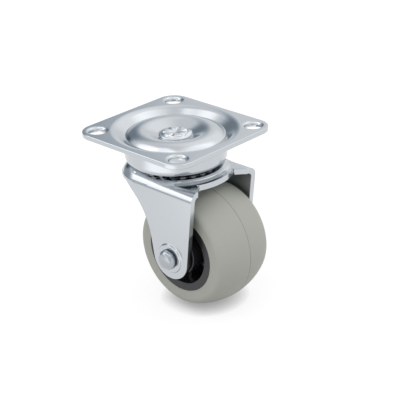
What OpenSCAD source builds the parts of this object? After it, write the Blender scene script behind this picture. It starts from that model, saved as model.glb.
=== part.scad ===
// Plate-mounted swivel castor: a pressed head plate, a double row of loose
// balls, a drawn fork and a wheel with a soft grey tread.
// The origin is the middle of the plate's mounting face, on the swivel axis.
// +Z is up, +X is the side to which the wheel trails and Y runs along the axle.

/* [Plate] */
// Side of the square mounting plate
plate_side = 57; // [54:0.5:70]
// Sheet thickness of the plate
plate_t = 2; // [1.6:0.1:2.2]
// Radius of the plate's corners
plate_corner_r = 7.5; // [4:0.5:8]
// Distance from a fixing hole's centre to the plate's edge
hole_edge = 6.5; // [6:0.1:8]
// Diameter of a fixing hole
hole_d = 6.5; // [4:0.1:7]
// Radius of the rolled edge at the top of a fixing hole
hole_lead_r = 1.4; // [0.4:0.1:1.5]

/* [Swivel head] */
// Outer radius of the drawn wall under the plate
head_r = 20.8; // [20:0.1:22]
// Depth of the drawn wall below the mounting face
head_depth = 13.1; // [12:0.1:14]
// Bend radius from the mounting face into the drawn wall
head_bend_r = 6.2; // [5:0.1:6.4]
// Width of the groove between the drawn wall and the ridge
groove_w = 1.5; // [1:0.1:2]
// Depth of the ridge's crest below the mounting face
ridge_drop = 0.5; // [0.2:0.1:1]
// Bend radius over the ridge's crest
ridge_bend_r = 2.8; // [2.6:0.1:3.2]
// Depth of the dish round the king pin
dish_depth = 2.6; // [2.2:0.1:3.2]
// Slope of the dish, in degrees
dish_slope = 17; // [14:1:22]
// Bend radius at the foot of the dish
dish_bend_r = 5; // [3:0.5:6]

/* [Ball rows] */
// Ball diameter of the upper row
upper_ball_d = 4; // [3.5:0.1:4.2]
// Distance between neighbouring balls of the upper row
upper_ball_apart = 0.6; // [0.1:0.1:2]
// Ball diameter of the lower row
lower_ball_d = 3.5; // [3:0.1:3.6]
// Distance between neighbouring balls of the lower row
lower_ball_apart = 0.2; // [0.1:0.1:2]
// Distance of the upper ball circle inside the middle of the lip
upper_ring_inset = 0.35; // [0:0.05:0.5]
// Clearance between the lower balls and the wall round them
lower_ring_gap = 1.05; // [0.3:0.05:1.1]
// Depth to which a ball sits in its race
race_depth = 0.75; // [0.6:0.05:0.8]
// Clearance between a ball and its race
ball_gap = 0.05; // [0.02:0.01:0.08]

/* [King pin] */
// Shank diameter of the king pin
pin_d = 11; // [10:0.1:12]
// Neck diameter through the plate and the lower race
pin_neck_d = 8; // [6:0.1:9]
// Diameter of the riveted head in the dish
pin_head_d = 10.4; // [9.5:0.1:11]
// Height of the riveted head in the dish
pin_head_h = 1.2; // [0.8:0.1:1.8]
// Number of staking notches in the riveted head
pin_notches = 6; // [4:1:8]
// Diameter of the closing head under the lower race
pin_foot_d = 13; // [11:0.5:15]
// Height of the closing head
pin_foot_h = 1.8; // [1.2:0.1:2.2]
// Thickness of the lower race
lower_race_t = 1.8; // [1.5:0.1:2.2]
// Clearance between the lower race and the wall round it
lower_race_gap = 0.6; // [0.3:0.1:0.8]

/* [Fork] */
// Width of the fork over its legs
fork_w = 38.5; // [38:0.1:42]
// Sheet thickness of the fork
fork_t = 2.5; // [2.2:0.1:2.6]
// Outer bend radius along the top of the legs
fork_bend_r = 4.2; // [3.4:0.1:5]
// Radius of the fork's rear corners, seen from above
fork_corner_r = 15.5; // [14:0.5:16.5]
// Distance of the fork's back from the swivel axis
fork_back = 21.2; // [21:0.1:22]
// Radius of the crown's front edge
crown_r = 23.5; // [22.5:0.1:24.5]
// Half the width of the crown's round front edge
crown_half = 10.1; // [9:0.1:11]
// Width of the flare from that edge out to a leg
flare_w = 4.2; // [3:0.1:5]
// Distance of the flared corner from the swivel axis
flare_x = 25.1; // [24.5:0.1:25.5]
// Distance of the legs' front edge from the swivel axis, at crown height
leg_front = 26; // [25.6:0.1:27]
// Radius of the leg's end round the axle
leg_end_r = 9; // [8:0.1:10]
// Radius of the hollow rear edge of a leg
leg_rear_r = 31; // [29:0.5:33]
// Length of the straight part of that edge
leg_rear_run = 7.5; // [6:0.5:9]
// Lean of that straight part, in degrees
leg_rear_lean = 9.7; // [8:0.1:11]
// Depth of the rear skirt below the crown's face
skirt_depth = 4; // [3.8:0.1:4.6]
// Step from the crown's face up to the upper race
race_step = 0; // [0:0.1:0.4]
// Height of the collar round the upper race, above the race
collar_h = 1.6; // [1:0.1:1.8]
// Width of the collar outside the balls
collar_w = 0.65; // [0.4:0.05:1]
// Height of the raised middle of the crown above the crown's face
crown_rise = 6.6; // [6.2:0.1:7]
// Clearance between the crown's raised middle and the plate's ridge
hub_gap = 1; // [0.5:0.1:1.2]
// Clearance between the king pin and the crown
pin_gap = 1; // [0.5:0.1:1.2]
// Radius of the raised pad round the axle
pad_r = 6.1; // [5.5:0.1:7]
// Height of the raised pad
pad_h = 0.8; // [0.3:0.1:1]
// Radius of the relief notch between crown and leg
relief_r = 0.6; // [0.4:0.1:1]

/* [Axle] */
// Diameter of the axle
axle_d = 8; // [7:0.1:9]
// Length of an axle end beyond the pad
axle_out = 2.7; // [1.5:0.1:3.5]
// Chamfer on the axle's ends
axle_chamfer = 0.6; // [0.3:0.1:1]
// Radial clearance between axle and hub
axle_gap = 0.05; // [0.02:0.01:0.08]

/* [Wheel] */
// Wheel diameter
wheel_d = 50; // [47:0.5:52]
// Clearance between the crown's underside and the wheel
wheel_gap = 3.4; // [2:0.1:10]
// Distance by which the axle trails behind the swivel axis
trail = 13.6; // [12:0.1:15]
// Clearance between the side of the wheel and a leg
tread_gap = 2.15; // [1.5:0.05:3]
// Radius of the tread's crown, across its width
tread_crown_r = 31; // [25:1:60]
// Radius of the tread's shoulders
shoulder_r = 2.5; // [1.5:0.1:4]
// Depth of the fine parting groove round the tread
parting_depth = 0.12; // [0.05:0.01:0.3]
// Outer radius of the wheel centre, under the tread
rim_r = 16.2; // [15.5:0.1:18]
// Wall thickness of the wheel centre's rim
rim_t = 3.3; // [2.5:0.1:3.6]
// Thickness of the web between rim and boss
web_t = 5; // [3:0.5:8]
// Radius of the hub boss
boss_r = 8.5; // [7.5:0.1:9]
// Side play of the hub between the legs, on each side
side_play = 1; // [0.6:0.1:1.4]
// Clearance left at the +Y leg, towards which the wheel has slid
side_rest = 0.1; // [0.1:0.1:0.5]
// Number of ribs in each face of the wheel centre
rib_count = 6; // [4:1:8]
// Thickness of a rib
rib_t = 1.8; // [1.2:0.1:2.4]
// Depth of a rib's edge below the rim's face
rib_set = 5.5; // [3:0.5:8]

/* [Hidden] */
$fn = 72;
eps = 0.01;
// Longer than the whole castor, for the shapes that cut right through it
past_all = plate_side + wheel_d;

// Plate and swivel head, as heights and radii on the plate's top face
hole_spacing = plate_side - 2 * hole_edge;
wall_r = head_r - plate_t;
ridge_r = wall_r - groove_w;
groove_bend_r = groove_w / 2;
groove_mid_r = wall_r - groove_bend_r;
groove_bend_z = -head_depth + plate_t + groove_bend_r;
head_flat_r = wall_r + head_bend_r;
ridge_mid_r = ridge_r - ridge_bend_r;
ridge_mid_z = -ridge_drop - ridge_bend_r;
dish_top = [ridge_mid_r - ridge_bend_r * sin(dish_slope), ridge_mid_z + ridge_bend_r * cos(dish_slope)];
dish_low_z = -dish_depth + dish_bend_r * (1 - cos(dish_slope));
dish_run = (dish_top[1] - dish_low_z) / tan(dish_slope);
dish_low = [dish_top[0] - dish_run, dish_low_z];
dish_flat_r = dish_low[0] - dish_bend_r * sin(dish_slope);
hole_lead = min(hole_lead_r, plate_t - 0.4);

// Ball rows and races, from the plate down
upper_ball_r = upper_ball_d / 2;
upper_ring_r = groove_mid_r - upper_ring_inset;
upper_balls = floor(180 / asin((upper_ball_r + upper_ball_apart / 2) / upper_ring_r));
upper_ball_z = -head_depth - upper_ball_r + race_depth;
race_z = upper_ball_z - upper_ball_r + race_depth;
crown_z = race_z - race_step;
crown_top_z = crown_z + crown_rise;
crown_hub_r = ridge_r - plate_t - hub_gap;
crown_hole_d = pin_d + 2 * pin_gap;
collar_r = upper_ring_r + upper_ball_r + ball_gap + collar_w;
lower_ball_r = lower_ball_d / 2;
lower_ring_r = crown_hub_r - fork_t - lower_ring_gap - lower_ball_r;
lower_balls = floor(180 / asin((lower_ball_r + lower_ball_apart / 2) / lower_ring_r));
lower_race_r = crown_hub_r - fork_t - lower_race_gap;
lower_ball_z = crown_top_z - fork_t - lower_ball_r + race_depth;
lower_race_z = lower_ball_z - lower_ball_r + race_depth;
pin_foot_z = lower_race_z - lower_race_t;

// Fork, from the crown down to the axle
leg_y = fork_w / 2;
leg_inner_y = leg_y - fork_t;
axle_z = crown_z - fork_t - wheel_gap - wheel_d / 2;
corner_x = fork_corner_r - fork_back;
corner_y = leg_y - fork_corner_r;
skirt_z = crown_z - skirt_depth;
crown_front = sqrt(crown_r * crown_r - crown_half * crown_half);
axle_c = [trail, axle_z];
front_top = [leg_front, crown_z];
front_dist = norm(front_top - axle_c);
front_turn = atan2(crown_z - axle_z, leg_front - trail) - acos(leg_end_r / front_dist);
front_low = axle_c + leg_end_r * [cos(front_turn), sin(front_turn)];
rear_dir = [-cos(leg_rear_lean), -sin(leg_rear_lean)];
rear_low = axle_c + leg_end_r * rear_dir;
rear_high = rear_low + leg_rear_run * [-sin(leg_rear_lean), cos(leg_rear_lean)];
rear_mid = rear_high + leg_rear_r * rear_dir;
axle_half = leg_y + pad_h + axle_out;

// Wheel, as radii and offsets from its own middle
hub_half = leg_inner_y - side_play;
tread_half = leg_inner_y - tread_gap;
side_shift = side_play - side_rest;
shoulder_y = tread_half - shoulder_r;
tread_mid_r = wheel_d / 2 - tread_crown_r;
shoulder_mid_r = tread_mid_r + sqrt(pow(tread_crown_r - shoulder_r, 2) - shoulder_y * shoulder_y);
tread_flat_y = shoulder_y * tread_crown_r / (tread_crown_r - shoulder_r);
rim_inner_r = rim_r - rim_t;

zinc = "lightsteelblue";
bright_steel = "silver";
ball_steel = "gainsboro";
grey_rubber = "darkgray";
dark_plastic = [0.2, 0.2, 0.21];

function ball_name(row, i) = str(row, "_ball_", i < 9 ? "0" : "", i + 1);

// A stretch of bent sheet: a ring sector about c, from radius r_in outwards
module sheet_bend(c, r_in, t, from, to) {
    reach = 2 * (r_in + t);
    middle = (from + to) / 2;
    translate(c) difference() {
        intersection() {
            circle(r = r_in + t);
            polygon([[0, 0],
                     reach * [cos(from), sin(from)],
                     reach * [cos(middle), sin(middle)],
                     reach * [cos(to), sin(to)]]);
        }
        circle(r = r_in);
    }
}

// The flat piece between two heights and two radii, in a turned profile
module band(r_from, r_to, z_from, z_to) {
    translate([r_from, z_from]) square([r_to - r_from, z_to - z_from]);
}

module square_corners(pitch) {
    for (x = [-pitch / 2, pitch / 2], y = [-pitch / 2, pitch / 2]) translate([x, y]) children();
}

module plate_outline() {
    corner_pitch = plate_side - 2 * plate_corner_r;
    square([plate_side, corner_pitch], center = true);
    square([corner_pitch, plate_side], center = true);
    square_corners(corner_pitch) circle(r = plate_corner_r);
}

// Half section of the pressed head, from the plate's flat in to the king pin
module head_section() {
    dish_down = plate_t * [sin(dish_slope), -cos(dish_slope)];
    dish_foot = dish_low - eps * [cos(dish_slope), sin(dish_slope)];
    difference() {
        union() {
            band(head_flat_r - eps, head_flat_r + 1, -plate_t, 0);
            sheet_bend([head_flat_r, -head_bend_r], head_bend_r - plate_t, plate_t, 90, 180);
            band(wall_r, head_r, groove_bend_z, -head_bend_r);
            sheet_bend([groove_mid_r, groove_bend_z], groove_bend_r, plate_t, 180, 360);
            band(ridge_r - plate_t, ridge_r, groove_bend_z, ridge_mid_z);
            sheet_bend([ridge_mid_r, ridge_mid_z], ridge_bend_r - plate_t, plate_t, 0, 90 + dish_slope);
            polygon([dish_top, dish_foot, dish_foot + dish_down, dish_top + dish_down]);
            sheet_bend([dish_flat_r, dish_bend_r - dish_depth], dish_bend_r, plate_t, 270, 270 + dish_slope);
            band(pin_neck_d / 2, dish_flat_r, -dish_depth - plate_t, -dish_depth);
        }
        translate([upper_ring_r, upper_ball_z]) circle(r = upper_ball_r + ball_gap);
    }
}

module fixing_hole() {
    translate([0, 0, -plate_t - 1]) cylinder(d = hole_d, h = plate_t + 2);
    rotate_extrude() difference() {
        band(0, hole_d / 2 + hole_lead, -hole_lead, 1);
        translate([hole_d / 2 + hole_lead, -hole_lead]) circle(r = hole_lead);
    }
}

module top_plate() {
    color(zinc) union() {
        difference() {
            translate([0, 0, -plate_t]) linear_extrude(plate_t) difference() {
                plate_outline();
                circle(r = head_flat_r);
            }
            square_corners(hole_spacing) fixing_hole();
        }
        rotate_extrude() head_section();
    }
}

// The pin through the head: one turned and riveted piece
module king_pin() {
    notch = pin_head_d * 0.16;
    color(bright_steel) difference() {
        rotate_extrude() difference() {
            union() {
                band(0, pin_neck_d / 2, pin_foot_z - eps, -dish_depth + eps);
                band(0, pin_d / 2, lower_race_z, -dish_depth - plate_t);
                band(0, pin_head_d / 2, -dish_depth, pin_head_h - dish_depth);
                band(0, pin_foot_d / 2 - pin_foot_h / 2, pin_foot_z - pin_foot_h, pin_foot_z);
                band(0, pin_foot_d / 2, pin_foot_z - pin_foot_h / 2, pin_foot_z);
                translate([pin_foot_d / 2 - pin_foot_h / 2, pin_foot_z - pin_foot_h / 2])
                    circle(r = pin_foot_h / 2);
            }
            translate([0, pin_head_h - dish_depth + pin_head_d * 0.9]) circle(r = pin_head_d);
        }
        for (i = [1 : pin_notches]) rotate([0, 0, i * 360 / pin_notches])
            translate([pin_head_d / 2 + notch * 0.45, 0, pin_head_h / 3 - dish_depth])
                cylinder(r = notch, h = pin_head_h);
    }
}

module lower_race() {
    color(zinc) rotate_extrude() difference() {
        band(pin_neck_d / 2, lower_race_r, pin_foot_z, lower_race_z);
        translate([lower_ring_r, lower_ball_z]) circle(r = lower_ball_r + ball_gap);
    }
}

module ball(ring_r, z, r, count, i) {
    color(ball_steel) rotate([0, 0, (i + 0.5) * 360 / count]) translate([ring_r, 0, z])
        sphere(r = r, $fn = 16);
}

module upper_ball(i) {
    ball(upper_ring_r, upper_ball_z, upper_ball_r, upper_balls, i);
}

module lower_ball(i) {
    ball(lower_ring_r, lower_ball_z, lower_ball_r, lower_balls, i);
}

// Half section of the hood: reach from the middle, height and bend at the top
module hood_half(reach, top, bend) {
    low = axle_z - leg_end_r - 1;
    translate([-eps, low]) square([reach - bend + eps, top - low]);
    translate([-eps, low]) square([reach + eps, top - bend - low]);
    translate([reach - bend, top - bend]) circle(r = bend);
}

// The hood seen as a solid: straight sides, two round rear corners and a back
module hood(inset, top, bend) {
    corner_r = fork_corner_r - inset;
    translate([corner_x, 0, 0]) rotate([90, 0, 90]) linear_extrude(leg_front + 2 - corner_x) {
        hood_half(leg_y - inset, top, bend);
        mirror([1, 0]) hood_half(leg_y - inset, top, bend);
    }
    translate([corner_x, corner_y, 0]) rotate([90, 0, 180]) translate([0, 0, -2 * corner_y])
        linear_extrude(2 * corner_y) hood_half(corner_r, top, bend);
    for (side = [0, 1]) mirror([0, side, 0]) translate([corner_x, corner_y, 0]) rotate([0, 0, 90])
        rotate_extrude(angle = 90) intersection() {
            hood_half(corner_r, top, bend);
            translate([0, -past_all]) square([past_all, 2 * past_all]);
        }
}

// Side view of the fork: leg, round end, hollow rear edge and rear skirt
module fork_side() {
    above = front_top + (front_top - front_low) * 0.4;
    far = -2 * fork_back;
    translate(axle_c) circle(r = leg_end_r);
    difference() {
        polygon([axle_c, front_low, above, [far, above[1]], [far, skirt_z],
                 [rear_mid[0], skirt_z], rear_mid, rear_high, rear_low]);
        intersection() {
            translate(rear_mid) circle(r = leg_rear_r);
            translate([far, skirt_z - past_all]) square(past_all);
        }
    }
}

// Plan view of the fork: round front of the crown and a flare out to each leg
module fork_plan() {
    reach = leg_y + pad_h + 1;
    flare_y = crown_half + flare_w;
    difference() {
        union() {
            translate([-2 * fork_back, -reach]) square([2 * fork_back + crown_front, 2 * reach]);
            intersection() {
                circle(r = crown_r);
                translate([0, -crown_half]) square([crown_r, 2 * crown_half]);
            }
            for (side = [0, 1]) mirror([0, side])
                polygon([[crown_front - 1, crown_half], [crown_front, crown_half], [flare_x, flare_y],
                         [leg_front + 0.5, reach], [crown_front - 1, reach]]);
        }
        for (side = [-1, 1]) translate([crown_front, side * crown_half]) circle(r = relief_r);
    }
}

// Half section of the crown's raised middle, race and collar
module crown_section() {
    edge = 1.2;
    difference() {
        union() {
            band(crown_hole_d / 2, crown_hub_r, crown_z - fork_t, crown_top_z - edge);
            band(crown_hole_d / 2, crown_hub_r - edge, crown_z - fork_t, crown_top_z);
            translate([crown_hub_r - edge, crown_top_z - edge]) circle(r = edge);
            band(crown_hole_d / 2, collar_r, crown_z - fork_t, race_z);
            band(upper_ring_r + upper_ball_r / 2, collar_r, race_z - eps, race_z + collar_h);
        }
        translate([upper_ring_r, upper_ball_z]) circle(r = upper_ball_r + ball_gap);
        translate([lower_ring_r, lower_ball_z]) circle(r = lower_ball_r + ball_gap);
        band(0, crown_hub_r - fork_t, crown_z - fork_t - 1, crown_top_z - fork_t);
    }
}

module fork() {
    lift = race_z + collar_h - crown_z;
    color(zinc) difference() {
        union() {
            intersection() {
                difference() {
                    hood(0, crown_z, fork_bend_r);
                    hood(fork_t, crown_z - fork_t, fork_bend_r - fork_t);
                    translate([0, 0, crown_z - fork_t - 1]) cylinder(r = crown_hub_r - 1, h = fork_t + 2);
                    translate([0, 0, crown_z - fork_t / 2]) cylinder(r = collar_r - collar_w / 2, h = fork_t);
                }
                rotate([90, 0, 0]) linear_extrude(past_all, center = true) fork_side();
                linear_extrude(2 * past_all, center = true) fork_plan();
            }
            intersection() {
                rotate_extrude() crown_section();
                hood(0, crown_z + lift, fork_bend_r + lift);
            }
            for (side = [0, 1]) mirror([0, side, 0]) translate([trail, leg_y, axle_z])
                rotate([-90, 0, 0]) translate([0, 0, -eps]) cylinder(r = pad_r, h = pad_h + eps);
        }
        translate([trail, 0, axle_z]) rotate([90, 0, 0])
            cylinder(d = axle_d, h = past_all, center = true);
    }
}

module axle_pin() {
    flat_r = axle_d / 2 - axle_chamfer;
    color(bright_steel) translate([trail, 0, axle_z]) rotate([90, 0, 0]) rotate_extrude()
        polygon([[0, -axle_half], [flat_r, -axle_half], [axle_d / 2, axle_chamfer - axle_half],
                 [axle_d / 2, axle_half - axle_chamfer], [flat_r, axle_half], [0, axle_half]]);
}

// Puts a wheel piece, made about the Z axis, on the axle
module on_axle() {
    translate([trail, side_shift, axle_z]) rotate([90, 0, 0]) children();
}

module wheel_centre() {
    bore_r = axle_d / 2 + axle_gap;
    rib_half = tread_half - rib_set;
    color(dark_plastic) on_axle() union() {
        rotate_extrude() {
            band(rim_inner_r, rim_r, -tread_half, tread_half);
            band(bore_r, rim_r - 1, -web_t / 2, web_t / 2);
            band(bore_r, boss_r, -hub_half, hub_half);
        }
        for (i = [1 : rib_count]) rotate([0, 0, (i - 0.5) * 360 / rib_count])
            translate([boss_r - 1, -rib_t / 2, -rib_half])
                cube([rim_inner_r - boss_r + 2, rib_t, 2 * rib_half]);
    }
}

module tread() {
    color(grey_rubber) on_axle() rotate_extrude() difference() {
        union() {
            intersection() {
                translate([tread_mid_r, 0]) circle(r = tread_crown_r);
                band(rim_r, wheel_d, -tread_flat_y, tread_flat_y);
            }
            for (side = [-1, 1]) translate([shoulder_mid_r, side * shoulder_y]) circle(r = shoulder_r);
            band(rim_r, shoulder_mid_r, -tread_half, tread_half);
        }
        translate([wheel_d / 2, 0]) circle(r = parting_depth, $fn = 16);
    }
}

top_plate();
king_pin();
lower_race();
fork();
axle_pin();
wheel_centre();
tread();
for (i = [0 : upper_balls - 1]) upper_ball(i);
for (i = [0 : lower_balls - 1]) lower_ball(i);
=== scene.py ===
import math
import bmesh
import bpy
from mathutils import Matrix, Vector


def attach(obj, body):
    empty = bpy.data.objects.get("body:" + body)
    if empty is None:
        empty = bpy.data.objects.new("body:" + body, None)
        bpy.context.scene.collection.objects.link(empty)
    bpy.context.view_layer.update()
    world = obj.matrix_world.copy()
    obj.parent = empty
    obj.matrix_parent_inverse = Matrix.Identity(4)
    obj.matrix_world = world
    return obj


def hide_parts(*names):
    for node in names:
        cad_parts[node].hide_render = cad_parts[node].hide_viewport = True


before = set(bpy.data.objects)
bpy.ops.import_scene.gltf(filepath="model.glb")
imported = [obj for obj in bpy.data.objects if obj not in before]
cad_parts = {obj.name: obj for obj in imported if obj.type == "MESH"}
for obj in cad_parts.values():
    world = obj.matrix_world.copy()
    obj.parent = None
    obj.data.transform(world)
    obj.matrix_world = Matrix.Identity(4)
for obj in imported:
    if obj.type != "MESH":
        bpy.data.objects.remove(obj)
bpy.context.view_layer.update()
mm = 0.001
print("frame loaded:", len(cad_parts), "nodes")


# shader wiring
class Wire:
    # one socket of a material's tree; plain operators add the Math nodes
    def __init__(self, tree, socket):
        self.tree = tree
        self.socket = socket

    def combine(self, operation, first, second):
        maths = self.tree.nodes.new("ShaderNodeMath")
        maths.operation = operation
        for spot, value in ((0, first), (1, second)):
            if isinstance(value, Wire):
                self.tree.links.new(value.socket, maths.inputs[spot])
            else:
                maths.inputs[spot].default_value = value
        return Wire(self.tree, maths.outputs[0])

    def __add__(self, other):
        return self.combine("ADD", self, other)

    def __radd__(self, other):
        return self.combine("ADD", other, self)

    def __sub__(self, other):
        return self.combine("SUBTRACT", self, other)

    def __rsub__(self, other):
        return self.combine("SUBTRACT", other, self)

    def __mul__(self, other):
        return self.combine("MULTIPLY", self, other)

    def __rmul__(self, other):
        return self.combine("MULTIPLY", other, self)

    def __truediv__(self, other):
        return self.combine("DIVIDE", self, other)

    def node(self, kind, settings=None, inputs=None, output=0):
        # settings go on first, a ramp's stops among them, then the sockets
        made = self.tree.nodes.new(kind)
        for name, value in (settings or {}).items():
            if name == "stops":
                while len(made.color_ramp.elements) > 2:
                    made.color_ramp.elements.remove(made.color_ramp.elements[-1])
                while len(made.color_ramp.elements) < len(value):
                    made.color_ramp.elements.new(0.5)
                for stop, (position, colour) in zip(made.color_ramp.elements, value):
                    stop.position = position
                    stop.color = colour
            else:
                setattr(made, name, value)
        for name, value in (inputs or {}).items():
            if isinstance(value, Wire):
                self.tree.links.new(value.socket, made.inputs[name])
            else:
                made.inputs[name].default_value = value
        return Wire(self.tree, made.outputs[output])


def newMaterial(name):
    material = bpy.data.materials.new(name)
    material.use_nodes = True
    tree = material.node_tree
    shader = tree.nodes["Principled BSDF"]
    coords = tree.nodes.new("ShaderNodeTexCoord")
    return material, shader, Wire(tree, coords.outputs["Object"])


def plug(shader, name, value):
    if isinstance(value, Wire):
        value.tree.links.new(value.socket, shader.inputs[name])
    else:
        shader.inputs[name].default_value = value


def grey(value, alpha=1.0):
    return (value, value, value, alpha)


# finishes: two tones in a cloudy grain, gloss, how much each grain changes the gloss, and a fine bump
metal = {"metallic": 1.0, "cloudScale": 160.0, "cloudDetail": 3.0, "cloudSoft": 0.55, "cloudRough": 0.10,
         "fineScale": 2600.0, "fineDetail": 2.0, "fineRough": 0.05, "bump": 0.06, "bumpDepth": 0.00005}
moulded = dict(metal, metallic=0.0, cloudSoft=0.5)
finishes = {
    "zincSheet": dict(metal, dark=(0.515, 0.545, 0.575, 1.0), pale=(0.565, 0.59, 0.615, 1.0), rough=0.16),
    "zincPin": dict(metal, dark=(0.60, 0.63, 0.66, 1.0), pale=(0.72, 0.74, 0.76, 1.0), rough=0.18),
    "axleSteel": dict(metal, dark=(0.36, 0.39, 0.42, 1.0), pale=(0.45, 0.48, 0.51, 1.0), rough=0.20),
    # ball steel: its tones are darkened below bare steel, as painted shade of the narrow gap the balls sit
    # in
    "ballSteelPaintedShade": dict(metal, dark=(0.20, 0.215, 0.235, 1.0), pale=(0.28, 0.29, 0.31, 1.0), rough=0.14),
    "greyTread": dict(moulded, dark=(0.355, 0.36, 0.32, 1.0), pale=(0.40, 0.405, 0.365, 1.0), rough=0.52,
                      cloudScale=90.0, cloudDetail=4.0, fineScale=3200.0, fineRough=0.0, bump=0.10),
    "blackPlastic": dict(moulded, dark=(0.014, 0.014, 0.016, 1.0), pale=(0.022, 0.022, 0.024, 1.0),
                         rough=0.22, cloudScale=120.0, cloudDetail=2.0, cloudRough=0.0, fineScale=1400.0,
                         fineRough=0.12, bump=0.05, bumpDepth=0.00004)}


def makeFinish(name, look):
    # a cloudy noise blends the two tones, a fine one gives the bump, both vary the gloss
    material, shader, coords = newMaterial(name)
    cloud = coords.node("ShaderNodeTexNoise", {},
                        {"Scale": look["cloudScale"], "Detail": look["cloudDetail"],
                         "Roughness": look["cloudSoft"]})
    fine = coords.node("ShaderNodeTexNoise", {}, {"Scale": look["fineScale"], "Detail": look["fineDetail"]})
    tone = coords.node("ShaderNodeMix", {"data_type": "RGBA"},
                       {"Factor": cloud, 6: look["dark"], 7: look["pale"]}, 2)
    rough = look["rough"]
    for grain, share in ((cloud, look["cloudRough"]), (fine, look["fineRough"])):
        if share:
            rough = rough + share * (grain - 0.5)
    bump = coords.node("ShaderNodeBump", {}, {"Strength": look["bump"], "Distance": look["bumpDepth"],
                                              "Height": fine})
    plug(shader, "Base Color", tone)
    plug(shader, "Metallic", look["metallic"])
    plug(shader, "Roughness", rough)
    plug(shader, "Normal", bump)
    return material


materials = {name: makeFinish(name, look) for name, look in finishes.items()}
print("finishes made")


# modelling helpers, all in millimetres
weldFine, weld = 0.0001, 0.0005     # corners this close are one
onLevel, onSide = 0.001, 0.01       # this close still counts as lying on a level, or on a side
toAxle = Matrix.Rotation(math.radians(90), 3, "X")      # lays what stands along Z along the axle


def arc(centre, radius, start, end, steps):
    # points of an arc in a half section: distance from the axis, height
    turns = [math.radians(start + (end - start) * step / steps) for step in range(steps + 1)]
    return [(centre[0] + radius * math.cos(turn), centre[1] + radius * math.sin(turn)) for turn in turns]


def meet(first, firstRadius, second, secondRadius):
    # angles, seen from both centres, at which two circles of a section cross
    gap = Vector(second) - Vector(first)
    along = (firstRadius ** 2 - secondRadius ** 2 + gap.length ** 2) / (2 * gap.length)
    side = math.sqrt(firstRadius ** 2 - along ** 2)
    found = []
    for sign in (-1, 1):
        across = sign * side * Vector((-gap.y, gap.x)).normalized()
        point = Vector(first) + along * gap.normalized() + across
        found.append([math.degrees(math.atan2(point.y - centre[1], point.x - centre[0])) % 360
                      for centre in (first, second)])
    return found


def turned(points, steps, closed=True):
    # a half section spun once about the Z axis; one that ends on the axis is left open there
    body = bmesh.new()
    corners = [body.verts.new((x, 0, z)) for x, z in points]
    pairs = list(zip(corners, corners[1:]))
    if closed:
        pairs.append((corners[-1], corners[0]))
    rims = [body.edges.new(pair) for pair in pairs]
    bmesh.ops.spin(body, geom=corners + rims, cent=(0, 0, 0), axis=(0, 0, 1), dvec=(0, 0, 0),
                   angle=2 * math.pi, steps=steps, use_merge=True, use_duplicate=False)
    bmesh.ops.remove_doubles(body, verts=body.verts, dist=weldFine)
    bmesh.ops.recalc_face_normals(body, faces=body.faces)
    return body


def prism(outline, low, high):
    # a flat outline drawn in X and Y, raised from low to high
    body = bmesh.new()
    corners = [body.verts.new((x, y, low)) for x, y in outline]
    base = body.faces.new(corners)
    raised = bmesh.ops.extrude_face_region(body, geom=[base])
    top = [part for part in raised["geom"] if isinstance(part, bmesh.types.BMVert)]
    bmesh.ops.translate(body, verts=top, vec=(0, 0, high - low))
    bmesh.ops.recalc_face_normals(body, faces=body.faces)
    return body


def moved(body, shift=(0, 0, 0), turn=None):
    if turn is not None:
        bmesh.ops.rotate(body, verts=body.verts, cent=(0, 0, 0), matrix=turn)
    bmesh.ops.translate(body, verts=body.verts, vec=shift)
    return body


def join(target, *others):
    for other in others:
        holder = bpy.data.meshes.new("part")
        other.to_mesh(holder)
        other.free()
        target.from_mesh(holder)
        bpy.data.meshes.remove(holder)
    return target


def carve(body, tool, operation):
    # one boolean between two closed bodies, applied at once
    pair = []
    for name, source in (("body", body), ("tool", tool)):
        data = bpy.data.meshes.new(name)
        source.to_mesh(data)
        source.free()
        pair.append(bpy.data.objects.new(name, data))
        bpy.context.scene.collection.objects.link(pair[-1])
    cut = pair[0].modifiers.new("cut", "BOOLEAN")
    cut.object, cut.operation, cut.solver = pair[1], operation, "EXACT"
    shown = pair[0].evaluated_get(bpy.context.evaluated_depsgraph_get())
    solved = bpy.data.meshes.new_from_object(shown)
    result = bmesh.new()
    result.from_mesh(solved)
    bpy.data.meshes.remove(solved)
    for made in pair:
        data = made.data
        bpy.data.objects.remove(made)
        bpy.data.meshes.remove(data)
    bmesh.ops.remove_doubles(result, verts=result.verts, dist=weld)
    return result


def finishPiece(name, body, finish, bodyName, nodes, sharp=40.0, soften=0.0, weighted=True):
    # a body in millimetres becomes an object in metres that stands in for CAD nodes
    bmesh.ops.scale(body, vec=(mm, mm, mm), verts=body.verts)
    data = bpy.data.meshes.new(name)
    for face in body.faces:
        face.smooth = True
    body.to_mesh(data)
    body.free()
    data.set_sharp_from_angle(angle=math.radians(sharp))
    piece = bpy.data.objects.new(name, data)
    bpy.context.scene.collection.objects.link(piece)
    data.materials.append(materials[finish])
    if soften:
        rounding = piece.modifiers.new("softEdges", "BEVEL")
        rounding.width, rounding.segments = soften * mm, 2
        rounding.limit_method, rounding.angle_limit = "ANGLE", math.radians(sharp)
        rounding.use_clamp_overlap = False
    if weighted:
        even = piece.modifiers.new("evenNormals", "WEIGHTED_NORMAL")
        even.keep_sharp = True
    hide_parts(*nodes)
    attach(piece, bodyName)
    print("piece made:", name, len(data.polygons), "faces")
    return piece


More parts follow.
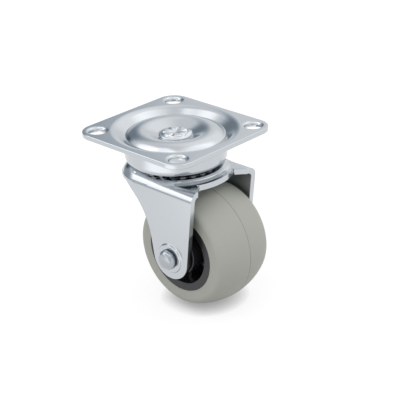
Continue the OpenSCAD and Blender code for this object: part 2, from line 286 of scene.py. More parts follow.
# plate: flange, drawn head, channel, ridge and dish
plate = {"side": 57.0, "sheet": 2.0, "corner": 7.5, "spacing": 44.0, "holeR": 3.25, "lead": 1.4,
         "steps": 192, "cornerSteps": 20, "holeSteps": 48, "edgeSteps": 3,
         # softened outer edge: its size, where the corners begin, and the least angle in radians
         "edge": 0.35, "edgeFrom": 33.0, "edgeAngle": 1.0,
         # underside: wall, bottom lip, ridge and dish
         "wallOut": 20.8, "depth": 13.1, "bend": 6.2, "groove": 1.5, "ridgeDrop": 0.5, "ridgeBend": 2.8,
         "dishDepth": 2.6, "slope": 17.0, "dishBend": 5.0, "neckR": 4.0,
         # rolled top face: valley, the slopes out of it and the bends that end them
         "valleyR": 20.1, "valleyDepth": 2.6, "valleyBend": 0.8, "outSlope": 31.0, "inSlope": 40.0,
         "rollOut": 6.0, "rollIn": 7.8, "dishRoll": 10.0, "dishSlope": 20.0}
balls = {"upperR": 1.5, "upperRing": 15.9, "upperZ": -13.5, "upperCount": 24, "around": 24, "over": 14,
         "lowerR": 1.75, "lowerRing": 9.0, "lowerZ": -12.5, "gap": 0.05}


def headTop(plate):
    # the rolled top face, from the flat in to the king pin
    out, into, dish = (math.radians(plate[key]) for key in ("outSlope", "inSlope", "dishSlope"))
    valley, low, small = plate["valleyR"], -plate["valleyDepth"], plate["valleyBend"]
    crest, seat = -plate["ridgeDrop"], -plate["dishDepth"]
    fallOut = -plate["rollOut"] * (1 - math.cos(out)) - low - small * (1 - math.cos(out))
    flat = valley + (small + plate["rollOut"]) * math.sin(out) + fallOut / math.tan(out)
    fallIn = crest - plate["rollIn"] * (1 - math.cos(into)) - low - small * (1 - math.cos(into))
    crestR = valley - (small + plate["rollIn"]) * math.sin(into) - fallIn / math.tan(into)
    fallDish = crest - seat - (plate["dishRoll"] + plate["dishBend"]) * (1 - math.cos(dish))
    foot = crestR - (plate["dishRoll"] + plate["dishBend"]) * math.sin(dish) - fallDish / math.tan(dish)
    rollCentre = (crestR, crest - plate["dishRoll"])
    points = (arc((flat, -plate["rollOut"]), plate["rollOut"], 90, 90 + plate["outSlope"], 14)
              + arc((valley, low + small), small, 270 + plate["outSlope"], 270 - plate["inSlope"], 12)
              + arc((crestR, crest - plate["rollIn"]), plate["rollIn"], 90 - plate["inSlope"], 90, 8)
              + arc(rollCentre, plate["dishRoll"], 90, 90 + plate["dishSlope"], 10)[1:]
              + arc((foot, seat + plate["dishBend"]), plate["dishBend"], 270 + plate["dishSlope"], 270, 8)
              + [(plate["neckR"], seat)])
    return points, flat


def headSection(plate, balls):
    # the whole half section: top face, underside with the race pressed in its lip, and the flat's start
    sheet, slope = plate["sheet"], math.radians(plate["slope"])
    top, flat = headTop(plate)
    wallIn = plate["wallOut"] - sheet
    lipR = plate["groove"] / 2
    lip = (wallIn - lipR, -plate["depth"] + sheet + lipR)
    ridge = (wallIn - plate["groove"] - plate["ridgeBend"], -plate["ridgeDrop"] - plate["ridgeBend"])
    dishTop = Vector(ridge) + plate["ridgeBend"] * Vector((-math.sin(slope), math.cos(slope)))
    lowZ = -plate["dishDepth"] + plate["dishBend"] * (1 - math.cos(slope))
    footR = dishTop.x - (dishTop.y - lowZ) / math.tan(slope) - plate["dishBend"] * math.sin(slope)
    foot = (footR, plate["dishBend"] - plate["dishDepth"])
    bend = (wallIn + plate["bend"], -plate["bend"])
    turn = 90 + plate["slope"]
    race = (balls["upperRing"], balls["upperZ"])
    raceR = balls["upperR"] + balls["gap"]
    inner, outer = meet(lip, lipR + sheet, race, raceR)
    if inner[0] > outer[0]:
        inner, outer = outer, inner
    under = ([(plate["neckR"], -plate["dishDepth"] - sheet)]
             + arc(foot, plate["dishBend"] + sheet, 270, 270 + plate["slope"], 6)
             + arc(ridge, plate["ridgeBend"] - sheet, turn, 0, 10)
             + arc(lip, lipR + sheet, 180, inner[0], 8) + arc(race, raceR, inner[1], outer[1], 8)[1:-1]
             + arc(lip, lipR + sheet, outer[0], 360, 12) + arc(bend, plate["bend"] - sheet, 180, 90, 16)
             + [(flat, -sheet)])
    return top, under, flat


def makePlate(plate, balls):
    top, under, flat = headSection(plate, balls)
    sheet, half = plate["sheet"], plate["side"] / 2
    body = turned(top + under, plate["steps"], closed=False)
    # rolled holes in the four corners
    lead = plate["lead"]
    rim = []
    for degrees in range(0, 91, 10):
        turn = math.radians(degrees)
        rim.append((plate["holeR"] + lead - lead * math.sin(turn), -lead + lead * math.cos(turn)))
    rim.append((plate["holeR"], -sheet))
    for x in (-1, 1):
        for y in (-1, 1):
            spot = (x * plate["spacing"] / 2, y * plate["spacing"] / 2, 0)
            hole = turned(rim, plate["holeSteps"], closed=False)
            join(body, moved(hole, spot))
    # the square flange: outline with rounded corners, raised to the sheet's thickness
    outline = bmesh.new()
    bmesh.ops.create_grid(outline, x_segments=1, y_segments=1, size=half)
    bmesh.ops.translate(outline, verts=outline.verts, vec=(0, 0, -sheet))
    bmesh.ops.bevel(outline, geom=outline.verts[:], offset=plate["corner"], offset_type="OFFSET",
                    segments=plate["cornerSteps"], profile=0.5, affect="VERTICES", clamp_overlap=False,
                    material=-1)
    bmesh.ops.delete(outline, geom=outline.faces[:], context="FACES_ONLY")
    raised = bmesh.ops.extrude_edge_only(outline, edges=outline.edges[:])
    brim = [part for part in raised["geom"] if isinstance(part, bmesh.types.BMVert)]
    bmesh.ops.translate(outline, verts=brim, vec=(0, 0, sheet))
    join(body, outline)
    bmesh.ops.remove_doubles(body, verts=body.verts, dist=weld)
    for level in (0.0, -sheet):
        loops = [rimEdge for rimEdge in body.edges if rimEdge.is_boundary
                 and all(abs(corner.co.z - level) < onLevel and corner.co.xy.length > flat - onSide
                         for corner in rimEdge.verts)]
        bmesh.ops.triangle_fill(body, use_beauty=True, use_dissolve=False, edges=loops)
    bmesh.ops.recalc_face_normals(body, faces=body.faces)
    # the sharp edges along the sides and round the corners are softened
    outside = [rimEdge for rimEdge in body.edges
               if all(max(abs(corner.co.x), abs(corner.co.y)) > half - onSide
                      or corner.co.xy.length > plate["edgeFrom"] for corner in rimEdge.verts)
               and rimEdge.calc_face_angle(0.0) > plate["edgeAngle"]]
    bmesh.ops.bevel(body, geom=outside, offset=plate["edge"], offset_type="OFFSET", profile=0.5,
                    segments=plate["edgeSteps"], affect="EDGES", clamp_overlap=False, material=-1)
    return finishPiece("plateSheet", body, "zincSheet", "plate", ["top_plate"])


# fork: drawn hood, races, legs and axle pads
fork = {"halfW": 19.25, "sheet": 2.5, "bend": 4.2, "corner": 15.5, "back": 21.2, "crownZ": -15.6,
        "edge": 0.18, "steps": 192, "cornerSteps": 26, "bendSteps": 10,
        # the drawn blank's front and low end, and how far the bodies reach that trim it
        "blankFront": 34.0, "blankLow": -62.0, "trimSide": 50.0, "trimLow": -70.0, "trimBack": -42.0,
        # raised middle of the crown, the opening made for it, and the collar round it
        "rise": 6.6, "hubR": 14.3, "hubEdge": 1.2, "holeR": 6.5,
        "openLap": 1.0, "openDown": 4.0, "openTop": -5.0,
        "collarH": 1.4, "collarR": 20.0, "collarIn": 17.4, "collarEdge": 0.35, "collarLip": 0.2,
        "collarFoot": 2.2, "collarFootEnd": 262.0, "collarDip": 1.9, "collarLap": 0.1,
        "fadeX": 24.0, "fadeSpan": 2.6, "fadeDrop": 1.0,
        # front of the crown: arc, flare to each leg, and relief notches, drawn as shares of their size
        "crownR": 23.5, "crownHalf": 10.1, "arcGap": 1.5, "flareW": 4.2, "flareX": 25.1, "legFront": 26.0,
        "frontLap": 0.5, "sideLap": 2.0, "reliefR": 0.6, "relief": ((-0.2, -0.6), (-1.0, 0.0), (-0.5, 0.8)),
        "reliefEnd": 0.9,
        # side view of the legs, axle and pads
        "axleX": 13.6, "axleZ": -46.5, "endR": 9.0, "lean": 9.7, "run": 7.5, "rearR": 31.0, "skirt": 4.0,
        "legOver": 0.4, "padR": 6.1, "padH": 0.8, "padEdge": 0.3, "padFoot": 0.25, "padRoot": 1.0,
        "padSteps": 72, "pinR": 4.0}


def onAxle(body, fork, shift=0.0):
    return moved(body, (fork["axleX"], shift, fork["axleZ"]), toAxle)


def hood(fork, inset, top, bend):
    # a box whose rear corners and top edges are rounded as the sheet is drawn
    front, low = fork["blankFront"], fork["blankLow"]
    body = bmesh.new()
    bmesh.ops.create_cube(body, size=1.0)
    length, width = front + fork["back"] - inset, 2 * (fork["halfW"] - inset)
    bmesh.ops.scale(body, vec=(length, width, top - low), verts=body.verts)
    bmesh.ops.translate(body, vec=(front - length / 2, 0, (top + low) / 2), verts=body.verts)
    rear = [rim for rim in body.edges if all(corner.co.x < 0 for corner in rim.verts)
            and abs(rim.verts[0].co.z - rim.verts[1].co.z) > onSide]
    bmesh.ops.bevel(body, geom=rear, offset=fork["corner"] - inset, offset_type="OFFSET", profile=0.5,
                    segments=fork["cornerSteps"], affect="EDGES", clamp_overlap=False, material=-1)
    brim = [rim for rim in body.edges if all(abs(corner.co.z - top) < onLevel for corner in rim.verts)
            and not all(corner.co.x > front - onSide for corner in rim.verts)]
    bmesh.ops.bevel(body, geom=brim, offset=bend, offset_type="OFFSET", segments=fork["bendSteps"],
                    profile=0.5, affect="EDGES", clamp_overlap=False, material=-1)
    return body


def legOutline(fork):
    # side view: round end, hollow rear edge, skirt, and a straight front edge
    axle = Vector((fork["axleX"], fork["axleZ"]))
    frontTop = Vector((fork["legFront"], fork["crownZ"]))
    reach = frontTop - axle
    frontTurn = math.degrees(math.atan2(reach.y, reach.x) - math.acos(fork["endR"] / reach.length))
    lean = math.radians(fork["lean"])
    outward = Vector((-math.cos(lean), -math.sin(lean)))
    rearLow = axle + fork["endR"] * outward
    rearHigh = rearLow + fork["run"] * Vector((-math.sin(lean), math.cos(lean)))
    hollow = rearHigh + fork["rearR"] * outward
    skirtZ = fork["crownZ"] - fork["skirt"]
    last = math.degrees(math.asin((skirtZ - hollow.y) / fork["rearR"]))
    start = math.degrees(math.atan2(-outward.y, -outward.x))
    low = math.radians(frontTurn)
    frontLow = axle + fork["endR"] * Vector((math.cos(low), math.sin(low)))
    above = frontTop + (frontTop - frontLow) * fork["legOver"]
    return ([tuple(above), (fork["trimBack"], above.y), (fork["trimBack"], skirtZ)]
            + list(reversed(arc(hollow, fork["rearR"], start, last, 28)))
            + arc(axle, fork["endR"], 180 + fork["lean"], 360 + frontTurn, 40))


def crownOutline(fork):
    # plan view: round front of the crown, relief notches and a flare to each leg
    reach = fork["halfW"] + fork["padH"] + fork["sideLap"]
    crownHalf, notch, lap = fork["crownHalf"], fork["reliefR"], fork["frontLap"]
    half = math.degrees(math.asin(crownHalf / fork["crownR"]))
    front = fork["crownR"] * math.cos(math.radians(half))
    side = ([(front + notch * along, crownHalf + notch * out) for along, out in fork["relief"]]
            + [(front + lap, crownHalf + notch * fork["reliefEnd"]),
               (fork["flareX"], crownHalf + fork["flareW"]), (fork["legFront"] + lap, reach),
               (fork["trimBack"], reach)])
    ends = half - fork["arcGap"]
    return [(x, -y) for x, y in reversed(side)] + arc((0, 0), fork["crownR"], -ends, ends, 40) + side


def crownSection(fork, balls):
    # raised middle, upper race and collar of the crown
    gap, sheet = balls["gap"], fork["sheet"]
    crown, edge, hub, foot = fork["crownZ"], fork["hubEdge"], fork["hubR"], fork["collarFoot"]
    rim, brim, rimEdge = fork["collarR"], crown + fork["collarH"], fork["collarEdge"]
    collarIn, lip = fork["collarIn"], fork["collarLip"]
    outer = fork["crownR"] - fork["collarLap"]
    steep = math.degrees(math.asin(1 - (fork["collarH"] - rimEdge) / foot))
    ballR = balls["upperR"] + gap
    centre = (balls["upperRing"], balls["upperZ"])
    high = math.degrees(math.acos((collarIn - centre[0]) / ballR))
    inner = hub - sheet
    small = (balls["lowerRing"], balls["lowerZ"])
    smallR = balls["lowerR"] + gap
    top = crown + fork["rise"]
    under = top - sheet
    lift = math.degrees(math.asin((under - small[1]) / smallR))
    turn = math.degrees(math.acos((hub - centre[0]) / ballR)) if centre[0] - hub < ballR else 180.0
    return ([(fork["holeR"], top)] + arc((hub - edge, top - edge), edge, 90, 0, 8)
            + arc(centre, ballR, 360 - turn, 360 - high, 18)[:-1]
            + [(collarIn, brim - lip), (collarIn + lip, brim), (rim - rimEdge, brim)]
            + arc((rim - rimEdge, brim - rimEdge), rimEdge, 90, 0, 4)[1:]
            + arc((rim + foot, crown + foot), foot, 180 + steep, fork["collarFootEnd"], 8)
            + [(outer, crown - fork["collarDip"]), (outer, crown - sheet), (inner, crown - sheet),
               (inner, under)] + arc(small, smallR, lift, 180 - lift, 12) + [(fork["holeR"], under)])


def makeFork(fork, balls):
    sheet, crownZ, bend, width = fork["sheet"], fork["crownZ"], fork["bend"], fork["halfW"]
    drawn, hollow = hood(fork, 0.0, crownZ, bend), hood(fork, sheet, crownZ - sheet, bend - sheet)
    body = carve(drawn, hollow, "DIFFERENCE")
    # the middle is cut out before the crown with its races goes in
    wide, low, high = fork["hubR"] - fork["openLap"], crownZ - fork["openDown"], fork["openTop"]
    opening = turned([(0, low), (wide, low), (wide, high), (0, high)], fork["steps"], closed=False)
    body = carve(body, opening, "DIFFERENCE")
    trim = fork["trimSide"]
    body = carve(body, moved(prism(legOutline(fork), -trim, trim), turn=toAxle), "INTERSECT")
    body = carve(body, prism(crownOutline(fork), fork["trimLow"], 0), "INTERSECT")
    # the collar's sides sink into the legs' bend toward the front
    raisedBend = bend + fork["collarH"]
    raised = hood(fork, 0.0, crownZ + fork["collarH"], raisedBend)
    for corner in raised.verts:
        if corner.co.x > 0:
            corner.co.x = fork["fadeX"]
            if corner.co.z > crownZ - bend - onSide:
                sunk = (abs(corner.co.y) - width + raisedBend) / fork["fadeSpan"]
                corner.co.z -= fork["fadeDrop"] * min(1.0, max(0.0, sunk))
    crown = carve(turned(crownSection(fork, balls), fork["steps"]), raised, "INTERSECT")
    body = carve(body, crown, "UNION")
    # axle pads on both sides, and the bore through them
    padR, padH, edge, root = fork["padR"], fork["padH"], fork["padEdge"], fork["padRoot"]
    footR, pinR = padR + fork["padFoot"], fork["pinR"]
    for side in (-1, 1):
        pad = turned([(0, -root), (footR, -root), (footR, 0.0), (padR, edge), (padR, padH - edge),
                      (padR - edge, padH), (0, padH)], fork["padSteps"], closed=False)
        moved(pad, (fork["axleX"], side * width, fork["axleZ"]),
              Matrix.Rotation(math.radians(-90 * side), 3, "X"))
        body = carve(body, pad, "UNION")
    bore = turned([(0, -trim), (pinR, -trim), (pinR, trim), (0, trim)], fork["padSteps"], closed=False)
    body = carve(body, onAxle(bore, fork), "DIFFERENCE")
    return finishPiece("forkSheet", body, "zincSheet", "fork", ["fork"], sharp=32.0,
                       soften=fork["edge"])


# king pin: shank, foot and the staked head
kingPin = {"shankR": 5.5, "neckR": 4.0, "raceTop": -13.5, "raceLow": -15.3, "footR": 6.5, "footH": 1.8,
           "footEdge": 0.8, "footLap": 0.2, "footDrop": 1.0, "steps": 144,
           # riveted head: its face (distance from the axis, height against the top) and its rounded rim
           "headR": 5.2, "headH": 1.2, "face": ((0, -0.55), (1.2, -0.5), (2.2, -0.1), (2.9, 0)),
           "rimFlat": 0.9, "rimFlatDrop": 0.02, "rimR": 0.45, "rimDrop": 0.5,
           # flange under the head, with a small ear on one side
           "flangeR": 6.7, "flangeH": 0.45, "flangeEdge": 0.3, "flangeFillet": 0.15,
           "earTurn": 40.0, "earH": 0.45, "earPower": 8, "earFrom": 0.02,
           # staking notches: how many, where they start and end, how deep, and how far the rim draws in
           "notches": 6, "notchTurn": 0.7, "notchGap": 0.15, "notchPower": 1.5, "notchDeep": 0.55,
           "notchFrom": 1.6, "notchSpan": 2.2, "notchAbove": 0.2, "near": 0.1,
           "drawn": 0.055, "drawnFrom": 3.4, "drawnSpan": 1.8}


def headOutline(kingPin, plate):
    # half section from the head's middle out, down over the flange and shank to the foot
    seat, foot = -plate["dishDepth"], kingPin["raceLow"]
    top, flange = seat + kingPin["headH"], seat + kingPin["flangeH"]
    head, fillet, edge = kingPin["headR"], kingPin["flangeFillet"], kingPin["flangeEdge"]
    neck, shank, low, race = kingPin["neckR"], kingPin["shankR"], seat - plate["sheet"], kingPin["raceTop"]
    flangeR, footR, footEdge = kingPin["flangeR"], kingPin["footR"], kingPin["footEdge"]
    return ([(reach, top + height) for reach, height in kingPin["face"]]
            + [(head - kingPin["rimFlat"], top - kingPin["rimFlatDrop"])]
            + arc((head - kingPin["rimR"], top - kingPin["rimDrop"]), kingPin["rimR"], 80, 0, 5)
            + [(head, flange + fillet), (head + fillet, flange)]
            + arc((flangeR - edge, flange - edge), edge, 90, 0, 5)
            + [(flangeR, seat), (neck, seat), (neck, low), (shank, low), (shank, race), (neck, race),
               (neck, foot), (footR - kingPin["footLap"], foot)]
            + arc((footR - footEdge, foot - kingPin["footDrop"]), footEdge, 0, -90, 6)
            + [(0, foot - kingPin["footH"])])


def makeKingPin(kingPin, plate):
    seat, head, near = -plate["dishDepth"], kingPin["headR"], kingPin["near"]
    body = turned(headOutline(kingPin, plate), kingPin["steps"], closed=False)
    for corner in body.verts:
        spot = corner.co
        reach = spot.xy.length
        if spot.z > seat + kingPin["earFrom"] and reach > head - near:
            # the flange runs up into its ear
            lean = math.cos(math.atan2(spot.y, spot.x) - math.radians(kingPin["earTurn"]))
            spot.z += kingPin["earH"] * max(0.0, lean) ** kingPin["earPower"]
        if spot.z < seat + kingPin["flangeH"] + kingPin["notchAbove"] or reach > head + near:
            continue
        # notches pressed in from the rim leave ridges between them
        wave = math.cos(math.atan2(spot.y, spot.x) * kingPin["notches"] + kingPin["notchTurn"])
        dent = max(0.0, wave - kingPin["notchGap"]) ** kingPin["notchPower"]
        outer = min(1.0, max(0.0, (reach - kingPin["notchFrom"]) / kingPin["notchSpan"]))
        spot.z -= kingPin["notchDeep"] * dent * outer * (spot.z - seat) / kingPin["headH"]
        if reach > kingPin["drawnFrom"]:
            spot.xy *= 1.0 - kingPin["drawn"] * dent * (reach - kingPin["drawnFrom"]) / kingPin["drawnSpan"]
    return finishPiece("kingPinHead", body, "zincPin", "plate", ["king_pin"], sharp=50.0)


# axle pin: bevelled ends that stand off the pads on a short neck
axle = {"r": 4.0, "half": 23.1, "faceR": 2.8, "dome": 0.12, "steps": 96,
        # bevel: height, and points on it as shares of its width and of its height
        "bevel": 1.3, "bevelShape": ((0.25, 0.15), (0.7, 0.6)),
        "neckR": 3.4, "neckLow": 20.1, "neckHigh": 20.65, "neckLowEdge": 0.05, "neckHighEdge": 0.1}


def makeAxle(axle, fork):
    r, half, face, bevel = axle["r"], axle["half"], axle["faceR"], axle["bevel"]
    drop = half - axle["dome"]
    neckR, low, high = axle["neckR"], axle["neckLow"], axle["neckHigh"]
    end = ([(0, half), (face, drop)]
           + [(face + (r - face) * out, drop - bevel * down) for out, down in axle["bevelShape"]]
           + [(r, drop - bevel), (r, high + axle["neckHighEdge"]), (neckR, high), (neckR, low),
              (r, low - axle["neckLowEdge"])])
    outline = end + [(x, -z) for x, z in reversed(end)]
    body = turned(outline, axle["steps"], closed=False)
    return finishPiece("axlePin", onAxle(body, fork), "axleSteel", "fork", ["axle_pin"],
                       sharp=50.0)


# wheel: black centre and grey tread
wheel = {"r": 25.0, "half": 14.6, "crownR": 31.0, "shoulder": 2.5, "shift": 0.9, "joint": 0.12,
         "steps": 168, "treadSteps": 224,
         # moulding seam round the tread's middle: depth, distance from the middle
         "seam": ((0.28, 0.0), (0.168, 0.09), (0.012, 0.19)), "seamEnd": 0.5,
         # rim, boss, bore and web of the black centre
         "rimR": 16.2, "rimIn": 12.9, "rimEdge": 0.45, "rimDraft": 0.2, "bossR": 8.5, "bossEdge": 0.6,
         "bossDraft": 0.15, "hubHalf": 15.75, "boreR": 4.05, "boreEdge": 0.3, "web": 5.0, "root": 0.7,
         # ribs between boss and rim
         "ribs": 6, "ribT": 1.8, "ribSet": 5.5, "ribLap": 1.2, "ribEdge": 0.4, "ribSteps": 4}


def makeTread(wheel, fork):
    half, fillet = wheel["half"], wheel["shoulder"]
    middle = wheel["r"] - wheel["crownR"]
    shoulderY = half - fillet
    shoulderR = middle + math.sqrt((wheel["crownR"] - fillet) ** 2 - shoulderY ** 2)
    lean = math.degrees(math.atan2(shoulderY, shoulderR - middle))
    side = ([(wheel["r"] - deep, out) for deep, out in wheel["seam"]]
            + arc((middle, 0), wheel["crownR"], wheel["seamEnd"], lean, 18)
            + arc((shoulderR, shoulderY), fillet, lean, 90, 10)[1:]
            + [(wheel["rimR"] + wheel["joint"], half), (wheel["rimR"], half - wheel["joint"])])
    outline = [(x, -z) for x, z in reversed(side[1:])] + side
    body = turned(outline, wheel["treadSteps"], closed=True)
    return finishPiece("treadRing", onAxle(body, fork, wheel["shift"]), "greyTread", "wheel",
                       ["tread"], sharp=50.0)


def makeRib(wheel, number):
    long, deep = wheel["rimIn"] - wheel["bossR"] + wheel["ribLap"], 2 * (wheel["half"] - wheel["ribSet"])
    rib = bmesh.new()
    bmesh.ops.create_cube(rib, size=1.0)
    bmesh.ops.scale(rib, vec=(long, wheel["ribT"], deep), verts=rib.verts)
    lengthwise = [rim for rim in rib.edges if abs(rim.verts[0].co.z - rim.verts[1].co.z) < onSide
                  and abs(rim.verts[0].co.y - rim.verts[1].co.y) < onSide]
    bmesh.ops.bevel(rib, geom=lengthwise, offset=wheel["ribEdge"], offset_type="OFFSET", profile=0.5,
                    segments=wheel["ribSteps"], affect="EDGES", clamp_overlap=False, material=-1)
    moved(rib, ((wheel["rimIn"] + wheel["bossR"]) / 2, 0, 0))
    return moved(rib, turn=Matrix.Rotation(math.radians((number + 0.5) * 360 / wheel["ribs"]), 3, "Z"))


def makeWheelCentre(wheel, fork):
    half, hub, web = wheel["half"], wheel["hubHalf"], wheel["web"] / 2
    boss, bore, root, joint = wheel["bossR"], wheel["boreR"], wheel["root"], wheel["joint"]
    boreEdge, bossEdge, rimEdge = wheel["boreEdge"], wheel["bossEdge"], wheel["rimEdge"]
    side = ([(bore, hub - boreEdge), (bore + boreEdge, hub)]
            + arc((boss - bossEdge, hub - bossEdge), bossEdge, 90, 0, 5)
            + arc((boss + wheel["bossDraft"] + root, web + root), root, 180, 270, 5)
            + arc((wheel["rimIn"] - wheel["rimDraft"] - root, web + root), root, 270, 360, 5)
            + arc((wheel["rimIn"] + rimEdge, half - rimEdge), rimEdge, 180, 90, 5)
            + [(wheel["rimR"] - joint, half), (wheel["rimR"], half - joint)])
    outline = side + [(x, -z) for x, z in reversed(side)]
    body = turned(outline, wheel["steps"], closed=True)
    for number in range(wheel["ribs"]):
        join(body, makeRib(wheel, number))
    return finishPiece("wheelCentre", onAxle(body, fork, wheel["shift"]), "blackPlastic",
                       "wheel", ["wheel_centre"])


def makeUpperBalls(balls):
    row = bmesh.new()
    nodes = ["upper_ball_%02d" % (number + 1) for number in range(balls["upperCount"])]
    for number in range(len(nodes)):
        ball = bmesh.new()
        bmesh.ops.create_uvsphere(ball, u_segments=balls["around"], v_segments=balls["over"],
                                  radius=balls["upperR"])
        moved(ball, (balls["upperRing"], 0, balls["upperZ"]))
        join(row, moved(ball, turn=Matrix.Rotation((number + 0.5) * 2 * math.pi / len(nodes), 3, "Z")))
    return finishPiece("upperBalls", row, "ballSteelPaintedShade", "upper_ball_row", nodes, sharp=60.0,
                       weighted=False)


makePlate(plate, balls)
makeFork(fork, balls)
makeUpperBalls(balls)
makeKingPin(kingPin, plate)
makeAxle(axle, fork)
makeTread(wheel, fork)
makeWheelCentre(wheel, fork)


# the lower balls and the lower race keep their own solids
def dress(nodeName, finish):
    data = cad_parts[nodeName].data
    if not data.materials:
        data.materials.append(materials[finish])
    for number in range(len(data.materials)):
        data.materials[number] = materials[finish]


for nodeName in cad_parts:
    if "lower_ball" in nodeName:
        dress(nodeName, "ballSteelPaintedShade")
dress("lower_race", "zincSheet")
print("balls and lower race dressed")

# camera: angles in degrees, focal length and aim in pixels of a square frame, sensor in mm, rest in metres
view = {"azimuth": 43.020, "elevation": 25.366, "roll": -1.267, "focal": 1242.62, "distance": 0.49619,
        "aimU": 175.317, "aimV": 127.693, "frame": 400.0, "sensor": 36.0, "clip": 0.01}


def placeCamera(view):
    az, el, roll = (math.radians(view[key]) for key in ("azimuth", "elevation", "roll"))
    back = Vector((math.sin(az) * math.cos(el), -math.cos(az) * math.cos(el), math.sin(el)))
    right = Vector((math.cos(az), math.sin(az), 0.0))
    up = back.cross(right)
    rightTurned = math.cos(roll) * right + math.sin(roll) * up
    upTurned = -math.sin(roll) * right + math.cos(roll) * up
    scale = view["distance"] / view["focal"]
    shiftX = (view["aimU"] - view["frame"] / 2) * scale
    shiftY = -(view["aimV"] - view["frame"] / 2) * scale
    eye = -shiftX * rightTurned - shiftY * upTurned + view["distance"] * back
    camera = bpy.data.cameras.new("camera")
    camera.sensor_width = view["sensor"]
    camera.lens = view["focal"] * view["sensor"] / view["frame"]
    camera.clip_start = view["clip"]
    holder = bpy.data.objects.new("camera", camera)
    bpy.context.scene.collection.objects.link(holder)
    turn = Matrix((rightTurned, upTurned, back)).transposed().to_4x4()
    holder.matrix_world = Matrix.Translation(eye) @ turn
    bpy.context.scene.camera = holder
    return holder


placeCamera(view)

# floor, light and background, in metres
studio = {"floorZ": -0.0716, "floorSize": 0.9, "floorWhite": 0.24, "floorPlain": 0.5, "floorRough": 0.9,
          # glow of the paper, the reach of the contact shadow and what is left of the glow in it
          "floorGlow": 0.78, "contact": 0.006, "contactLeast": 0.3, "contactSamples": 8,
          # painted pool of light glowing on the paper, in front on the left: place, full within, gone
          # beyond, strength
          "paintedLightPool": (0.02, -0.18, 0.05, 0.13, 0.55),
          # light of the plain room and the cool tint of its dim parts
          "room": 0.92, "tint": (0.66, 0.88, 1.10, 1.0),
          # soft panels of the room: azimuth, elevation, full within, gone beyond (degrees), strength
          "panels": {"darkCard": (156, 20, 6, 24, -0.62), "darkSide": (188, 3, 15, 33, -0.46),
                     "leftWall": (262, 8, 14, 36, 0.50), "darkLow": (232, -3, 5, 13, -0.40),
                     "leftStrip": (227, 23, 8, 16, 0.75), "leftMiddle": (214, 38, 8, 17, 0.70),
                     "leftTop": (198, 53, 9, 19, 0.80), "overhead": (313, 64, 12, 26, 0.45),
                     "rightHigh": (50, 56, 15, 33, 0.50), "rightLow": (355, 12, 8, 22, 0.40),
                     "backWall": (98, 42, 12, 34, 0.30)},
          # soft box above, in front on the left
          "keyAbove": {"spot": (-0.15, -0.25, 0.75), "aim": (0, 0, -0.03), "size": (0.5, 0.5),
                       "power": 0.5}}


def makeFloor(studio):
    paper = bmesh.new()
    bmesh.ops.create_grid(paper, x_segments=1, y_segments=1, size=studio["floorSize"] / 2)
    bmesh.ops.translate(paper, verts=paper.verts, vec=(0, 0, studio["floorZ"]))
    data = bpy.data.meshes.new("floor")
    paper.to_mesh(data)
    paper.free()
    floor = bpy.data.objects.new("floor", data)
    bpy.context.scene.collection.objects.link(floor)
    material, shader, coords = newMaterial("paperWhite")
    plug(shader, "Base Color", grey(studio["floorWhite"]))
    plug(shader, "Roughness", studio["floorRough"])
    plug(shader, "Specular IOR Level", 0.0)
    # a painted pool of light: the paper's glow is raised round one spot in front on the left
    x, y, full, gone, strength = studio["paintedLightPool"]
    reach = coords.node("ShaderNodeVectorMath", {"operation": "DISTANCE"},
                        {0: coords, 1: (x, y, studio["floorZ"])}, 1)
    paintedLightPool = strength * reach.node("ShaderNodeMapRange", {"interpolation_type": "SMOOTHSTEP"},
                                  {"Value": reach, "From Min": gone, "From Max": full})
    # the glow fades where something stands close above it, so the wheel keeps its contact shadow
    clear = coords.node("ShaderNodeAmbientOcclusion", {"samples": studio["contactSamples"]},
                        {"Distance": studio["contact"]}, 1)
    least = studio["contactLeast"]
    glow = (paintedLightPool + studio["floorGlow"]) * (least + (1.0 - least) * clear)
    plug(shader, "Emission Color",
         glow.node("ShaderNodeCombineColor", {}, {"Red": glow, "Green": glow, "Blue": glow}))
    plug(shader, "Emission Strength", 1.0)
    # camera and mirror rays see white paper, the object's sides are lit by a plainer floor
    camera, glossy, through = (coords.node("ShaderNodeLightPath", {}, {}, kind)
                               for kind in ("Is Camera Ray", "Is Glossy Ray", "Is Transmission Ray"))
    direct = camera + glossy + through
    seen = direct.node("ShaderNodeClamp", {}, {"Value": direct})
    plain = coords.node("ShaderNodeBsdfDiffuse", {}, {"Color": grey(studio["floorPlain"])})
    tree = coords.tree
    mixed = coords.node("ShaderNodeMixShader", {}, {0: seen, 1: plain, 2: Wire(tree, shader.outputs[0])})
    tree.links.new(mixed.socket, tree.nodes["Material Output"].inputs["Surface"])
    data.materials.append(material)
    return floor


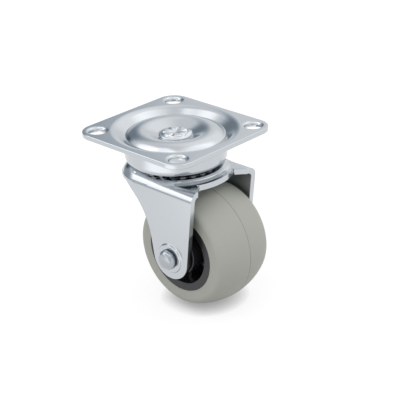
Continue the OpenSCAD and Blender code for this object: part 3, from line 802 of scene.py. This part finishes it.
def toward(azimuth, elevation):
    # a direction of the room, turned from the X axis and raised from the level
    az, el = math.radians(azimuth), math.radians(elevation)
    return (math.cos(el) * math.cos(az), math.cos(el) * math.sin(az), math.sin(el))


def makeWorld(studio):
    world = bpy.data.worlds.new("studio")
    world.use_nodes = True
    tree = world.node_tree
    tree.nodes.clear()
    coords = Wire(tree, tree.nodes.new("ShaderNodeTexCoord").outputs["Generated"])
    way = coords.node("ShaderNodeVectorMath", {"operation": "NORMALIZE"}, {0: coords})
    light = studio["room"]
    for azimuth, elevation, full, gone, strength in studio["panels"].values():
        near = way.node("ShaderNodeVectorMath", {"operation": "DOT_PRODUCT"},
                        {0: way, 1: toward(azimuth, elevation)}, 1)
        edge, core = math.cos(math.radians(gone)), math.cos(math.radians(full))
        light = light + strength * near.node("ShaderNodeMapRange", {"interpolation_type": "SMOOTHSTEP"},
                                             {"Value": near, "From Min": edge, "From Max": core})
    tint = way.node("ShaderNodeMix", {"data_type": "RGBA"},
                    {"Factor": light, 6: studio["tint"], 7: grey(1.0)}, 2)
    lit = way.node("ShaderNodeBackground", {}, {"Color": tint, "Strength": light})
    white = way.node("ShaderNodeBackground", {}, {"Color": grey(1.0), "Strength": 1.0})
    seen = way.node("ShaderNodeLightPath", {}, {}, "Is Camera Ray")
    mixed = way.node("ShaderNodeMixShader", {}, {0: seen, 1: lit, 2: white})
    end = tree.nodes.new("ShaderNodeOutputWorld")
    tree.links.new(mixed.socket, end.inputs["Surface"])
    bpy.context.scene.world = world


def softBox(name, box):
    lamp = bpy.data.lights.new(name, "AREA")
    lamp.shape = "RECTANGLE"
    lamp.size, lamp.size_y = box["size"]
    lamp.energy = box["power"]
    holder = bpy.data.objects.new(name, lamp)
    bpy.context.scene.collection.objects.link(holder)
    aim = (Vector(box["aim"]) - Vector(box["spot"])).to_track_quat("-Z", "Y")
    holder.matrix_world = Matrix.Translation(box["spot"]) @ aim.to_matrix().to_4x4()
    return holder


makeFloor(studio)
makeWorld(studio)
softBox("keyAbove", studio["keyAbove"])
bpy.context.scene.view_settings.view_transform = "Standard"
print("studio made")
